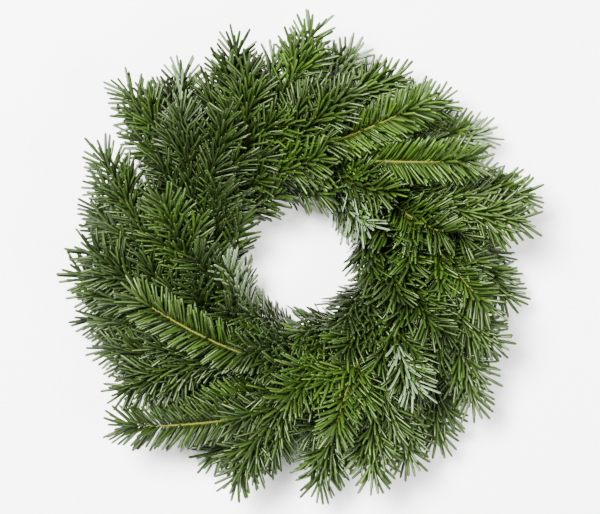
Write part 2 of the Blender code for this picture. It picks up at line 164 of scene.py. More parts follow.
# %% Spray tips
LANES = {"low": 0, "mid": 28, "upper": 58, "crown": 90, "shoulder": 122, "inner": 155}
LEAVING_PITCH = {"low": 16, "mid": 18, "upper": 22, "crown": 24, "shoulder": 26, "inner": 34}
TIPS = {
    "crown": (
        (17, 38, 160, 72), (0, 60, 160, 74), (2, 80, 119, 80), (4, 117, 122, 76), (5, 138, 138, 78),
        (6, 168, 140, 76), (7, 185, 112, 78), (9, 256, 135, 66), (12, 292, 118, 80), (13, 320, 150, 75),
        (14, 330, 126, 80), (15, 344, 157, 70), (16, 15, 136, 78),
    ),
    "upper": (
        (16, 3, 184, 56), (2, 80, 181, 52), (3, 104, 155, 60), (4, 113, 170, 46), (6, 161, 184, 50),
        (8, 196, 186, 50), (10, 233, 177, 50), (11, 272, 170, 58), (12, 297, 179, 60), (14, 314, 195, 50),
        (15, 343, 178, 56),
    ),
    "mid": (
        (0, 42, 172, 36), (2, 74, 191, 36), (4, 129, 184, 36), (6, 151, 185, 36), (7, 175, 184, 34),
        (8, 226, 197, 50), (10, 245, 173, 34), (11, 266, 181, 36), (14, 327, 179, 34), (17, 28, 168, 36),
    ),
    "low": (
        (17, 14, 173, 18), (1, 55, 180, 20), (3, 100, 174, 20), (5, 142, 187, 20), (8, 204, 178, 14),
        (11, 254, 177, 22), (12, 284, 172, 18), (14, 320, 174, 16),
    ),
    "shoulder": (
        (0, 50, 86, 70), (3, 110, 84, 70), (5, 152, 82, 68), (8, 210, 88, 70), (11, 270, 84, 72),
        (13, 310, 88, 68), (16, 10, 84, 70),
    ),
    "inner": (
        (0, 62, 60, 44), (2, 100, 60, 50), (4, 142, 62, 44), (6, 180, 62, 48), (8, 222, 62, 44),
        (10, 262, 60, 50), (12, 300, 58, 44), (14, 340, 57, 50), (16, 20, 57, 46),
    ),
}
UNFORKED = ("crown_17", "crown_00", "crown_09", "mid_08")
OPEN_PARTING = (*UNFORKED, "crown_02", "crown_06", "upper_03")
print("sprays:", sum(len(tips) for tips in TIPS.values()))

# %% [markdown]
# ## The curve of a twig
#
# A spray's cut end lies on the straw under the wire, and from there it rises to its tip in one smooth
# curve. A side twig leaves it at a fork and bends a little towards its tip. A twig is kept as a list of
# points and, at each, the direction that its comb of needles faces.

# %% Twig curves
STEM_HALF = 1.6 * MM
SEAT_GAP = 0.5 * MM
STEM_EACH_SIDE_OF_WIRE = 9 * MM
FORK_PROBE = 5 * MM  # how far ahead of a fork the main twig's direction is read
FORK_SWEEP = 0.35  # how far a side twig bends back along the main one
CURVE_PULL = 0.42  # share of the way for which a curve keeps its first heading
MAIN_POINTS, SIDE_POINTS = 16, 7


@dataclass
class Twig:
    points: np.ndarray
    ups: np.ndarray
    bare: int  # number of points on its cut end, where it has no forks


def curve(start, heading, end, count):
    middle = start + heading * CURVE_PULL * np.linalg.norm(end - start)
    t = np.linspace(0, 1, count)[:, None]
    return (1 - t) ** 2 * start + 2 * t * (1 - t) * middle + t**2 * end


def lengths_along(points):
    return np.concatenate([[0.0], np.cumsum(np.linalg.norm(np.diff(points, axis=0), axis=1))])


def at_length(values, along, where):
    return np.stack([np.interp(where, along, values[:, i]) for i in range(3)], axis=-1)


def main_twig(lane_name, turn, bearing, radius, height):
    lane = LANES[lane_name]
    seat = STEM_HALF + SEAT_GAP
    bound_at = wire_bearing(turn, lane)
    lane_radius = np.hypot(*on_straw(bound_at, lane, seat)[:2])
    swing = math.degrees(STEM_EACH_SIDE_OF_WIRE / lane_radius)
    bearings = [bound_at - swing, bound_at, bound_at + swing]
    seated = [on_straw(b, lane, seat) for b in bearings]
    pitch = math.radians(LEAVING_PITCH[lane_name])
    away = straw_normal(bearings[2], lane)
    heading = math.cos(pitch) * along_ring(bearings[2]) + math.sin(pitch) * away
    free = curve(seated[2], heading, polar(radius * MM, bearing, height * MM), MAIN_POINTS)
    # The comb faces away from the straw at first, and straight up from two thirds of the way
    turning = np.clip(np.linspace(0, 1.5, len(free)), 0, 1)[:, None]
    ups = np.vstack([[straw_normal(b, lane) for b in bearings[:2]], (1 - turning) * away + turning * UP])
    return Twig(np.vstack([seated[:2], free]), ups, bare=3)


def side_twig(main, fork, side, angle, tilt, share):
    along = lengths_along(main.points)
    start = at_length(main.points, along, fork)
    tangent = unit(at_length(main.points, along, fork + FORK_PROBE) - start)
    up = at_length(main.ups, along, fork)
    up = unit(up - (up @ tangent) * tangent)
    right = np.cross(tangent, up)
    turn, rise = math.radians(angle), math.radians(tilt)
    heading = math.cos(turn) * tangent + math.sin(turn) * side * right
    heading = math.cos(rise) * heading + math.sin(rise) * up
    end = start + share * (along[-1] - fork) * unit(heading + FORK_SWEEP * tangent)
    points = curve(start, heading, end, SIDE_POINTS)
    return Twig(points, np.tile(up, (len(points), 1)), bare=1)


first_shoot = main_twig("crown", *TIPS["crown"][0])
print("first crown shoot:", round(lengths_along(first_shoot.points)[-1] / MM), "mm long")

# %% [markdown]
# ## Room between twigs
#
# Twigs are laid one after the other, and a later one has to clear the earlier ones, the straw, the
# table and the hole. For that every twig laid is kept as a row of rods, and the gap between two rods is
# the least distance of two line segments less their radii. That is far quicker than a test of meshes.

# %% Room kept for each twig
CORE_REACH = 3.6 * MM  # clearance radius of a twig with its needle roots
GAP = 0.35 * MM
HOLE_RADIUS = 39 * MM
HOLE_Y = -3 * MM


def from_hole(points):
    return np.hypot(points[..., 0], points[..., 1] - HOLE_Y)


class Room:
    def __init__(self):
        self.rods = np.empty((0, 7))
        self.owners = np.array([], dtype="U24")

    def add(self, points, reach, owner):
        rows = np.hstack([points[:-1], points[1:], np.full((len(points) - 1, 1), reach)])
        self.rods = np.vstack([self.rods, rows])
        self.owners = np.append(self.owners, [owner] * len(rows))

    def clearance(self, start, end, reach, owner):
        rods = self.rods[self.owners != owner]
        axis, others = end - start, rods[:, 3:6] - rods[:, 0:3]
        between = start - rods[:, 0:3]
        a, e = axis @ axis, (others**2).sum(1)
        b, c, f = others @ axis, between @ axis, (others * between).sum(1)
        s = np.clip((b * f - c * e) / np.maximum(a * e - b * b, 1e-12), 0, 1)
        t = np.clip((b * s + f) / e, 0, 1)
        s = np.clip((b * t - c) / a, 0, 1)
        apart = np.linalg.norm(between + s[:, None] * axis - t[:, None] * others, axis=1)
        return (apart - reach - rods[:, 6]).min()

    def clears(self, twig, owner, first, reach=CORE_REACH):
        """Whether a twig has room from its point number first on."""
        low = twig.points[first:]
        if low[:, 2].min() < CORE_REACH or from_hole(low).min() < HOLE_RADIUS + CORE_REACH:
            return False
        if above_straw(low[1:]).min() < reach:
            return False
        return all(self.clearance(a, b, reach, owner) > GAP for a, b in zip(low[:-1], low[1:]))


room = Room()
room.add(route, WIRE_RADIUS, "binding_wire")
print("rods of wire:", len(room.rods))

# %% [markdown]
# ## Laying the sprays
#
# A main twig that finds no room is lifted or lowered at its tip, and a side twig is turned or tilted,
# in a fixed order of tries. The first forks are the CAD's. The later, short ones fill out the foliage
# here, and those near the cut end need little room, because real needles give way.

# %% Main twigs and forks
FREE_FROM = 5  # the points before it lie on the straw or just leave it
LIFTS = (0, 4, -4, 8, -8, 12, -12, 16, -16, 20, 24)  # mm
FORK_TRIES = ((0, 0), (0, 12), (-10, 8), (-10, -8), (8, 20), (-16, 20), (-16, -16), (-22, 28))
FORK_SHARE = 0.56  # side twig over what is left of the main twig
SHORTEST_FORK = 20 * MM
SOFT_REACH = 1.2 * MM


def lay_main_twigs(room):
    sprays = {}
    for lane_name, tips in TIPS.items():
        for turn, bearing, radius, height in tips:
            name = f"spray_{lane_name}_{turn:02d}"
            for lift in LIFTS:
                twig = main_twig(lane_name, turn, bearing, radius, height + lift)
                if room.clears(twig, name, FREE_FROM):
                    break
            for a, b in zip(twig.points[:-1], twig.points[1:]):
                bare = above_straw(a) < STEM_HALF + 2 * SEAT_GAP
                room.add(np.array([a, b]), STEM_HALF if bare else CORE_REACH, name)
            sprays[name] = [twig]
    return sprays


def lay_side_twigs(room, sprays, place, share, shortest, spread, but, reach=CORE_REACH):
    """Adds a pair of side twigs to each main twig, at a place from 0 to 1 along it."""
    for name, twigs in sprays.items():
        if name.removeprefix("spray_") in but:
            continue
        main = twigs[0]
        along = lengths_along(main.points)
        bare = along[main.bare - 1]
        fork = bare + place * (along[-1] - bare)
        if share * (along[-1] - fork) < shortest:
            continue
        for side in (1, -1):
            for angle, tilt in FORK_TRIES:
                twig = side_twig(main, fork, side, spread + angle, tilt, share)
                if room.clears(twig, name, 1, reach):
                    room.add(twig.points, reach, name)
                    twigs.append(twig)
                    break


sprays = lay_main_twigs(room)
lay_side_twigs(room, sprays, place=0.36, share=FORK_SHARE, shortest=SHORTEST_FORK, spread=40, but=UNFORKED)
as_in_cad = sum(len(twigs) for twigs in sprays.values())
lay_side_twigs(room, sprays, place=0.68, share=0.6, shortest=14 * MM, spread=32, but=OPEN_PARTING)
lay_side_twigs(
    room, sprays, place=0.1, share=0.4, shortest=12 * MM, spread=32, but=OPEN_PARTING, reach=SOFT_REACH
)
print("twigs as in the CAD:", as_in_cad)

# %% [markdown]
# ## Tips tucked in
#
# A binder tucks a short tip in wherever straw would show. So each lane that has no spray at a turn gets
# one, as part of a spray that the same turn binds. At the lower left two of them reach further, to close
# a gap between two long combs, and two places stay open.

# %% Short tips between sprays
TUCKED = {  # for each lane, distance from the axis and height in mm
    "low": (134, 18), "mid": (140, 34), "upper": (124, 56), "crown": (90, 62), "shoulder": (74, 54),
    "inner": (56, 30),
}
TUCKED_AHEAD = 26  # degrees from the wire to the tip
REACH_FURTHER = {"spray_mid_09": (34, 160), "spray_low_09": (38, 152)}
LEFT_OPEN = ("spray_crown_10", "spray_upper_09")
TUCK_TRIES = ((0, 0), (-4, 4), (0, -6), (-6, -4), (4, 8))  # degrees ahead and mm higher


def tuck_in(room, sprays):
    tucked = 0
    for turn in range(WIRE_TURNS):
        beside = next(name for name in sprays if name.endswith(f"_{turn:02d}"))
        for lane_name, (radius, height) in TUCKED.items():
            name = f"spray_{lane_name}_{turn:02d}"
            if name in sprays or name in LEFT_OPEN:
                continue
            on, radius = REACH_FURTHER.get(name, (TUCKED_AHEAD, radius))
            for ahead, lift in TUCK_TRIES:
                bearing = wire_bearing(turn, LANES[lane_name]) + on + ahead
                twig = main_twig(lane_name, turn, bearing, radius, height + lift)
                if room.clears(twig, beside, FREE_FROM, SOFT_REACH):
                    room.add(twig.points, SOFT_REACH, beside)
                    sprays[beside].append(twig)
                    tucked += 1
                    break
    return tucked


print("tips tucked in:", tuck_in(room, sprays))
print("short twigs beyond the CAD's:", sum(map(len, sprays.values())) - as_in_cad)

# %% [markdown]
# ## How needles sit on a fir twig
#
# A fir's needles grow in a spiral, each about 137 degrees on from the last. Those from below
# twist round to the sides, and those on top lean forward, so the twig looks combed. On a strong shoot
# they leave a parting that shows the stem, and near the tip they close over it. The spiral is easy to
# write down and the comb is a bend of its angles, so both are worked out for a whole twig at once.

# %% Combs of needles
NEEDLE_SPACING = 0.92 * MM
NEEDLE_LENGTH = 25.3 * MM
GOLDEN_ANGLE = 137.5
HANG_OF_LOWEST = 26  # degrees that the lowest needles stand below the sides
PARTING_CLOSES = 12 * MM  # the parting is whole at 3 times this from the tip, and gone at 2 times


@dataclass
class Comb:
    """A way in which needles are combed. Angles are in degrees."""

    parting: float  # half the bare angle on top
    spacing: float
    top_lean: float  # how much further forward the top needles lean
    stray_round: float
    stray_lean: float


CLOSED_COMB = Comb(parting=0, spacing=NEEDLE_SPACING, top_lean=31, stray_round=3, stray_lean=1.8)
OPEN_COMB = Comb(parting=48, spacing=NEEDLE_SPACING * 0.75, top_lean=31 * 0.3, stray_round=7, stray_lean=4)


def combed(spiral, parting):
    """Bends spiral angles into a comb: 0 is the twig's right side, 90 its top, 180 its left."""
    right_or_left = np.where(np.cos(np.radians(spiral)) >= 0, 1, -1)
    from_side = np.where(spiral < 180, np.minimum(spiral, 180 - spiral), 0)
    below = np.where(spiral >= 180, np.minimum(spiral - 180, 360 - spiral), 0)
    lifted = from_side * (90 - parting) / 90 - below * HANG_OF_LOWEST / 90
    return np.where(right_or_left > 0, lifted, 180 - lifted)


print("needles on 100 mm of a closed comb:", round(100 * MM / CLOSED_COMB.spacing))

# %% [markdown]
# Each needle needs a root on the bark, a direction, a side that faces up and a length. The draws come
# from one seeded generator, so the wreath is the same in each run.

# %% Needle seats
SIDE_LEAN = 56
TIP_CLOSES = 7 * MM  # within about this of the tip needles close up
ROOT_GROWS = 8 * MM  # and within this of the cut end they are shorter
WIRE_CLEAR = 1.4 * MM
TANGENT_REACH = 2 * MM
rng = np.random.default_rng(12)


def frames_along(twig, where):
    """Centre, tangent, up and right at each distance along a twig."""
    along = lengths_along(twig.points)
    centre = at_length(twig.points, along, where)
    ahead = at_length(twig.points, along, np.minimum(where + TANGENT_REACH, along[-1]))
    behind = at_length(twig.points, along, np.maximum(where - TANGENT_REACH, 0))
    tangent = unit(ahead - behind)
    up = at_length(twig.ups, along, where)
    up = unit(up - (up * tangent).sum(1, keepdims=True) * tangent)
    return centre, tangent, up, np.cross(tangent, up)


def twig_radius(twig, where, is_main):
    share = where / lengths_along(twig.points)[-1]
    return (1.15 - 0.5 * share if is_main else 0.9 - 0.3 * share) * MM


def seat_needles(twig, is_main, comb):
    """Root, direction, facing and length of each needle on a twig."""
    along = lengths_along(twig.points)
    first = 1 * MM if is_main else 4 * MM
    where = np.arange(first, along[-1] + 0.5 * MM, comb.spacing)
    where = where + rng.uniform(-0.4, 0.4, len(where)) * NEEDLE_SPACING
    if is_main:
        where = where[abs(where - along[1]) > WIRE_CLEAR]
    count = len(where)
    centre, tangent, up, right = frames_along(twig, where)
    spiral = (np.arange(count) * GOLDEN_ANGLE + rng.uniform(0, 360)) % 360
    from_tip = along[-1] - where
    parting = comb.parting * np.clip(from_tip / PARTING_CLOSES - 2, 0, 1)
    around = np.radians(combed(spiral, parting) + rng.normal(0, comb.stray_round, count))[:, None]
    outward = np.cos(around) * right + np.sin(around) * up
    on_top = np.clip(np.sin(around[:, 0]), 0, 1)
    closing = np.exp(-from_tip / TIP_CLOSES)
    lean = (SIDE_LEAN - comb.top_lean * on_top) * (1 - 0.62 * closing)
    lean = np.radians(lean + rng.normal(0, comb.stray_lean, count))[:, None]
    direction = np.cos(lean) * tangent + np.sin(lean) * outward
    length = NEEDLE_LENGTH * rng.uniform(0.88, 1.02, count) * (1 - 0.16 * on_top)
    length *= (1 - 0.2 * np.exp(-(where - first) / ROOT_GROWS)) * (1 - 0.05 * closing)
    roots = centre + 0.7 * twig_radius(twig, where, is_main)[:, None] * outward
    facing = up + 0.11 * rng.normal(size=(count, 3))
    return roots, direction, facing, length


print("needles are", round(NEEDLE_LENGTH / MM, 1), "mm long")

# %% [markdown]
# Needles are springy: where one would run into the table, the straw or the clear hole, it swings aside at
# its root instead. Each tip is pushed out to where there is room, by a drawn amount more, so that no smooth
# edge shows there, and the needle keeps its length.

# %% Needles give way
HOLE_RIM = np.array([37.5 * MM, 37 * MM])  # half the clear hole across and up
HOLE_MIDDLE = np.array([0, HOLE_Y])
RIM_FROM = 0.94  # where the raggedness of the rim starts
MOST_SLACK = 4  # mm
STRAW_CLEAR = 1 * MM
TABLE_CLEAR = 3 * MM
LOWEST_TIP = 2.4 * MM
BEYOND_CAD = np.array([3 * MM, 3 * MM, 1.5 * MM])


def bend_clear(roots, direction, length):
    tips = roots + direction * length[:, None]
    slack = rng.uniform(0, MOST_SLACK, len(tips)) * MM
    ragged = RIM_FROM + 0.04 * slack / MM
    for _ in range(3):
        flat = np.hypot(tips[:, 0], tips[:, 1])[:, None]
        tube = np.hstack([tips[:, :2] * RING_RADIUS / flat, np.full((len(tips), 1), TUBE_HEIGHT)])
        away = tips - tube
        distance = np.linalg.norm(away, axis=1, keepdims=True)
        tips = tube + away * np.maximum(distance, TUBE_RADIUS + STRAW_CLEAR + slack[:, None]) / distance
        share = np.linalg.norm((tips[:, :2] - HOLE_MIDDLE) / HOLE_RIM, axis=1)
        tips[:, :2] += (tips[:, :2] - HOLE_MIDDLE) * np.maximum(ragged / share - 1, 0)[:, None]
        tips[:, 2] = np.maximum(tips[:, 2], TABLE_CLEAR + 0.4 * slack)
        tips = roots + unit(tips - roots) * length[:, None]
    low, high = np.array(CAD_BOX[0]) - BEYOND_CAD, np.array(CAD_BOX[1]) + BEYOND_CAD
    low[2] = LOWEST_TIP
    return np.clip(tips, low, high)


print("clear hole:", np.round(2 * HOLE_RIM / MM, 1), "mm")

# %% [markdown]
# ## Needle and bud shapes
#
# A needle is flat and blunt, with a glossy, slightly domed top and a keel between two pale bands below.
# It is drawn 2.45 mm wide, a little more than the real 2 mm, so that it reads at the photo's size.
# There are thousands, so the mesh has only 17 faces, and the bands are drawn by the material from the
# UV map: U runs along the needle, and V across its top from 0 to 1 and across its underside from 2 to
# 3. Three shapes with different bows keep the rows from looking stamped.

# %% Needle mesh
NEEDLE_WIDTH = 2.45 * MM
STATIONS = ((0.0, 0.5), (0.25, 0.9), (0.6, 1.0), (0.93, 0.85))  # share of the length, and of the width
SECTION = ((-0.5, 0.0), (0.0, 0.1), (0.5, 0.0), (0.0, -0.18))  # left edge, dome, right edge, keel
WIDTHS_LONG = 12


def needle_mesh(name, bow, sway):
    """A needle of unit length along X, its top facing Z. It is scaled to size where it grows."""
    sides = ((1, 0, (0.5, 0.0)), (2, 1, (1.0, 0.5)), (3, 2, (2.5, 3.0)), (0, 3, (2.0, 2.5)))
    points, faces, uvs = [], [], []
    for along, wide in (*STATIONS, (1.0, 0.0)):
        side, lift = WIDTHS_LONG * sway * along**2, WIDTHS_LONG * bow * (along**2 - 0.3 * along)
        section = SECTION if wide else SECTION[:1]
        points += [(along, side + across * wide, lift + high * wide) for across, high in section]
    last = 4 * (len(STATIONS) - 1)
    for i in range(len(STATIONS) - 1):
        here, ahead = STATIONS[i][0], STATIONS[i + 1][0]
        for a, b, v in sides:
            faces.append((4 * i + a, 4 * i + b, 4 * i + 4 + b, 4 * i + 4 + a))
            uvs += [(here, v[0]), (here, v[1]), (ahead, v[1]), (ahead, v[0])]
    for a, b, v in sides:
        faces.append((last + a, last + b, last + 4))
        uvs += [(STATIONS[-1][0], v[0]), (STATIONS[-1][0], v[1]), (1.0, sum(v) / 2)]
    faces.append((0, 1, 2, 3))
    uvs += [(0, 2.5)] * 4
    mesh = bpy.data.meshes.new(name)
    mesh.from_pydata(points, [], faces)
    mesh.uv_layers.new(name="UVMap").data.foreach_set("uv", np.ravel(uvs))
    mesh.shade_smooth()
    return mesh


def hidden_collection(name, meshes):
    """A collection that no scene shows, for a tree to pick shapes from."""
    collection = bpy.data.collections.new(name)
    for mesh in meshes:
        collection.objects.link(bpy.data.objects.new(mesh.name, mesh))
    return collection


BENDS = {"needle_a": (0.07, 0.0), "needle_b": (-0.05, 0.03), "needle_c": (0.11, -0.04)}
needles = hidden_collection("needle_shapes", [needle_mesh(name, *bend) for name, bend in BENDS.items()])

# %% [markdown]
# A bud is a small brown egg with overlapping scales. Rings of seven points pulled out along X are
# enough at 3 mm, and its material draws the scales.

# %% Bud mesh
BUD_RINGS, BUD_SIDES = 5, 7


def bud_mesh():
    points, faces = [(0.0, 0.0, 0.0)], []
    for i in range(1, BUD_RINGS):
        x = i / BUD_RINGS
        wide = 0.5 * math.sin(math.pi * x**0.8) ** 0.7
        for k in range(BUD_SIDES):
            turn = 2 * math.pi * k / BUD_SIDES
            points.append((x, wide * math.cos(turn), wide * math.sin(turn)))
    points.append((1.0, 0.0, 0.0))
    for k in range(BUD_SIDES):
        beside = (k + 1) % BUD_SIDES
        faces.append((0, 1 + beside, 1 + k))
        for i in range(BUD_RINGS - 2):
            a = 1 + i * BUD_SIDES
            faces.append((a + k, a + beside, a + BUD_SIDES + beside, a + BUD_SIDES + k))
        a = 1 + (BUD_RINGS - 2) * BUD_SIDES
        faces.append((a + k, a + beside, len(points) - 1))
    mesh = bpy.data.meshes.new("bud")
    mesh.from_pydata(points, [], faces)
    mesh.shade_smooth()
    return mesh


buds = hidden_collection("bud_shapes", [bud_mesh()])

# %% [markdown]
# ## Finishes
#
# Each finish is a Principled shader with a few nodes in front. One helper turns sRGB hex into the
# linear values Blender wants, and one adds a node with its settings and links. A pattern's scale is
# given as how many of its marks fit on a millimetre of the real thing.

# %% Material helpers
BLEND = {"data_type": "RGBA"}  # inputs 6 and 7 of such a Mix node are its colours, and output 2 the result


def linear(code):
    """The linear colour of an sRGB hex code."""
    channels = [int(code[i : i + 2], 16) / 255 for i in (1, 3, 5)]
    return (*[c / 12.92 if c <= 0.04045 else ((c + 0.055) / 1.055) ** 2.4 for c in channels], 1.0)


def add(tree, kind, settings=(), **links):
    """Adds a node. Settings are its own properties, or `stops`, the (position, hex) stops of a ramp.

    Links name an input, or give its number after an underscore, with its value or source.
    """
    node = tree.nodes.new(kind)
    settings = dict(settings)
    stops = settings.pop("stops", ())
    for key, value in settings.items():
        setattr(node, key, value)
    for _ in stops[2:]:
        node.color_ramp.elements.new(0.5)
    for (position, code), element in zip(stops, node.color_ramp.elements if stops else ()):
        element.position = position
        element.color = linear(code)
    for key, value in links.items():
        socket = node.inputs[int(key[1:])] if key[0] == "_" else node.inputs[key.replace("_", " ")]
        if isinstance(value, bpy.types.NodeSocket):
            tree.links.new(value, socket)
        else:
            socket.default_value = value
    return node


def finish(name, **values):
    """A new material with the constants of its Principled shader set. Gives the material, tree and shader."""
    material = bpy.data.materials.new(name)
    material.use_nodes = True
    tree = material.node_tree
    shader = tree.nodes["Principled BSDF"]
    for key, value in values.items():
        shader.inputs[key.replace("_", " ")].default_value = value
    return material, tree, shader


def surface(tree, shader, colour, height=None, strength=0.0, depth=0.0):
    """Links a colour to the shader and, where a height is given, a bump of that depth."""
    tree.links.new(colour, shader.inputs["Base Color"])
    if height:
        bump = add(tree, "ShaderNodeBump", Height=height, Strength=strength, Distance=depth)
        tree.links.new(bump.outputs[0], shader.inputs["Normal"])


print("mid green in linear values:", [round(c, 4) for c in linear("#132105")])

# %% [markdown]
# ** Needle cuticle.** A fir needle wears a coat of wax: dark green and glossy above, and below two bands
# of tiny wax-filled pores that look chalky. Each needle carries a number from 0 to 1, `tone`, and a
# second one, `fresh`, for its share of yellow-green; both also hold painted shade for needles under twigs.
# A paler line along the rib is a painted highlight, the needle is darkened from its middle to its root as
# painted shade, and the foot on the bark is yellow-green. Dark needles lie deep in the wreath, so their
# gloss is low too, or gaps would glitter.

# %% Needle finish
OLD_GREEN = ((0.0, "#040801"), (0.5, "#132105"), (1.0, "#263c0d"))
FRESH_GREEN = ((0.0, "#0b1502"), (0.5, "#253c06"), (1.0, "#42600f"))


def needle_finish():
    """Waxy leaf: a broad soft gloss on a very dark green, which gives the eye light and dark streaks."""
    material, tree, shader = finish("waxy_fir_needle", Roughness=0.4, Specular_Tint=linear("#dcebc0"))
    uv = add(tree, "ShaderNodeUVMap", {"uv_map": "UVMap"}).outputs["UV"]
    split = add(tree, "ShaderNodeSeparateXYZ", Vector=uv)
    along, across = split.outputs["X"], split.outputs["Y"]
    tone = add(tree, "ShaderNodeAttribute", {"attribute_name": "tone"}).outputs["Fac"]
    fresh = add(tree, "ShaderNodeAttribute", {"attribute_name": "fresh"}).outputs["Fac"]
    old = add(tree, "ShaderNodeValToRGB", {"stops": OLD_GREEN}, Fac=tone).outputs["Color"]
    young = add(tree, "ShaderNodeValToRGB", {"stops": FRESH_GREEN}, Fac=tone).outputs["Color"]
    green = add(tree, "ShaderNodeMix", BLEND, _0=fresh, _6=old, _7=young).outputs[2]
    rib = add(tree, "ShaderNodeMath", {"operation": "PINGPONG"}, _0=across, _1=0.5).outputs[0]
    painted_light_and_washes = (  # what is measured, where a wash starts and where it is full, its strength and colour
        # painted highlight: a paler line along the rib
        (rib, 0.38, 0.5, 0.35, "#3a5218"),
        # painted shade: darker from the middle of the needle towards its root
        (along, 0.6, 0.0, 0.6, "#101a04"),
        (along, 0.07, 0.02, 0.8, "#4a5019"),
    )
    for measure, start, full, strength, code in painted_light_and_washes:
        wash = add(tree, "ShaderNodeMapRange", _0=measure, _1=start, _2=full, _3=0.0, _4=strength).outputs[0]
        green = add(tree, "ShaderNodeMix", BLEND, _0=wash, _6=green, _7=linear(code)).outputs[2]
    below = add(tree, "ShaderNodeMath", {"operation": "GREATER_THAN"}, _0=across, _1=1.5).outputs[0]
    band = add(tree, "ShaderNodeMath", {"operation": "COMPARE"}, _0=rib, _1=0.25, _2=0.12).outputs[0]
    under = add(tree, "ShaderNodeMix", BLEND, _0=band, _6=linear("#2d421c"), _7=linear("#697b5e")).outputs[2]
    surface(tree, shader, add(tree, "ShaderNodeMix", BLEND, _0=below, _6=green, _7=under).outputs[2])
    gloss = add(tree, "ShaderNodeMapRange", _0=tone, _1=0.0, _2=0.22, _3=0.2, _4=0.64).outputs[0]
    tree.links.new(gloss, shader.inputs["Specular IOR Level"])
    return material


needle_look = needle_finish()
print("nodes in the needle finish:", len(needle_look.node_tree.nodes))

# %% [markdown]
# **Twig bark.** This year's shoots are olive-yellow and finely haired. Towards the cut end the wood is a
# year or two older, browner and rougher. The plan of each spray stores `age` for it, which is 1 at the
# cut end and falls to 0 along the main twig.

# %% Bark finish
BARK_SPECKS_PER_MM = 0.9
YOUNG_BARK = ((0.3, "#363d0c"), (0.7, "#565b18"))
OLD_BARK = ((0.3, "#2c2618"), (0.7, "#443a26"))


def bark_finish():
    """Haired young bark: matt, so that a bare stem reads as a clear yellow line between the needles."""
    material, tree, shader = finish("young_fir_bark", Roughness=0.8, Specular_IOR_Level=0.25)
    place = add(tree, "ShaderNodeTexCoord").outputs["Object"]
    age = add(tree, "ShaderNodeAttribute", {"attribute_name": "age"}).outputs["Fac"]
    specks = add(tree, "ShaderNodeTexNoise", Vector=place, Scale=BARK_SPECKS_PER_MM / MM, Detail=3.0)
    speck = specks.outputs["Fac"]
    young = add(tree, "ShaderNodeValToRGB", {"stops": YOUNG_BARK}, Fac=speck).outputs["Color"]
    old = add(tree, "ShaderNodeValToRGB", {"stops": OLD_BARK}, Fac=speck).outputs["Color"]
    bark = add(tree, "ShaderNodeMix", BLEND, _0=age, _6=young, _7=old).outputs[2]
    surface(tree, shader, bark, speck, strength=0.5, depth=0.3 * MM)
    return material


bark_look = bark_finish()
print("nodes in the bark finish:", len(bark_look.node_tree.nodes))

# %% [markdown]
# **Bud scales.** A fir bud is wrapped in dry brown scales. A pattern of cells, each about a millimetre
# and a half wide, gives their size, and a bump from the same cells their edges.

# %% Bud finish
BUD_SCALES_PER_MM = 0.7
BUD_BROWN = ((0.1, "#372c10"), (0.6, "#1f1a09"))


def bud_finish():
    """Dry scales: dull brown dots at the ends of twigs."""
    material, tree, shader = finish("fir_bud_scales", Roughness=0.7, Specular_IOR_Level=0.15)
    place = add(tree, "ShaderNodeTexCoord").outputs["Object"]
    scales = add(tree, "ShaderNodeTexVoronoi", Vector=place, Scale=BUD_SCALES_PER_MM / MM)
    from_middle = scales.outputs["Distance"]
    brown = add(tree, "ShaderNodeValToRGB", {"stops": BUD_BROWN}, Fac=from_middle).outputs["Color"]
    surface(tree, shader, brown, from_middle, strength=0.6, depth=0.4 * MM)
    return material


bud_look = bud_finish()
print("nodes in the bud finish:", len(bud_look.node_tree.nodes))

# %% [markdown]
# ## One tree of Geometry Nodes grows a spray
#
# The input mesh of a spray is only a plan: the twigs as lines, and a loose point for each needle and
# each bud. The number `kind` tells them apart. The tree skins the lines with bark, sets a needle or a
# bud on each point, turned to the direction stored there, and joins the three. A plan keeps the CAD's
# twigs exactly, and the tree repeats the small shapes far faster than Python would.

# %% Tree helpers
TWIG, NEEDLE, BUD = 0, 1, 2  # values of `kind`
VECTORS = ("heading", "facing", "size")  # stored for each needle and bud
STORED = "GeometryNodeInputNamedAttribute"


def new_tree(name, **sockets):
    """A Geometry Nodes tree with a geometry in and out, and the named inputs."""
    tree = bpy.data.node_groups.new(name, "GeometryNodeTree")
    tree.interface.new_socket("Geometry", in_out="INPUT", socket_type="NodeSocketGeometry")
    tree.interface.new_socket("Geometry", in_out="OUTPUT", socket_type="NodeSocketGeometry")
    for label, (kind, value) in sockets.items():
        socket = tree.interface.new_socket(label.replace("_", " "), in_out="INPUT", socket_type=kind)
        if value is not None:
            socket.default_value = value
    return tree, add(tree, "NodeGroupInput").outputs


def of_kind(tree, number):
    """The part of the plan whose points are of one kind."""
    kind = add(tree, STORED, {"data_type": "INT"}, Name="kind").outputs[0]
    settings = {"data_type": "INT", "operation": "EQUAL"}
    same = add(tree, "FunctionNodeCompare", settings, _2=kind, _3=number).outputs[0]
    plan = tree.nodes["Group Input"].outputs["Geometry"]
    return add(tree, "GeometryNodeSeparateGeometry", Geometry=plan, Selection=same).outputs[0]


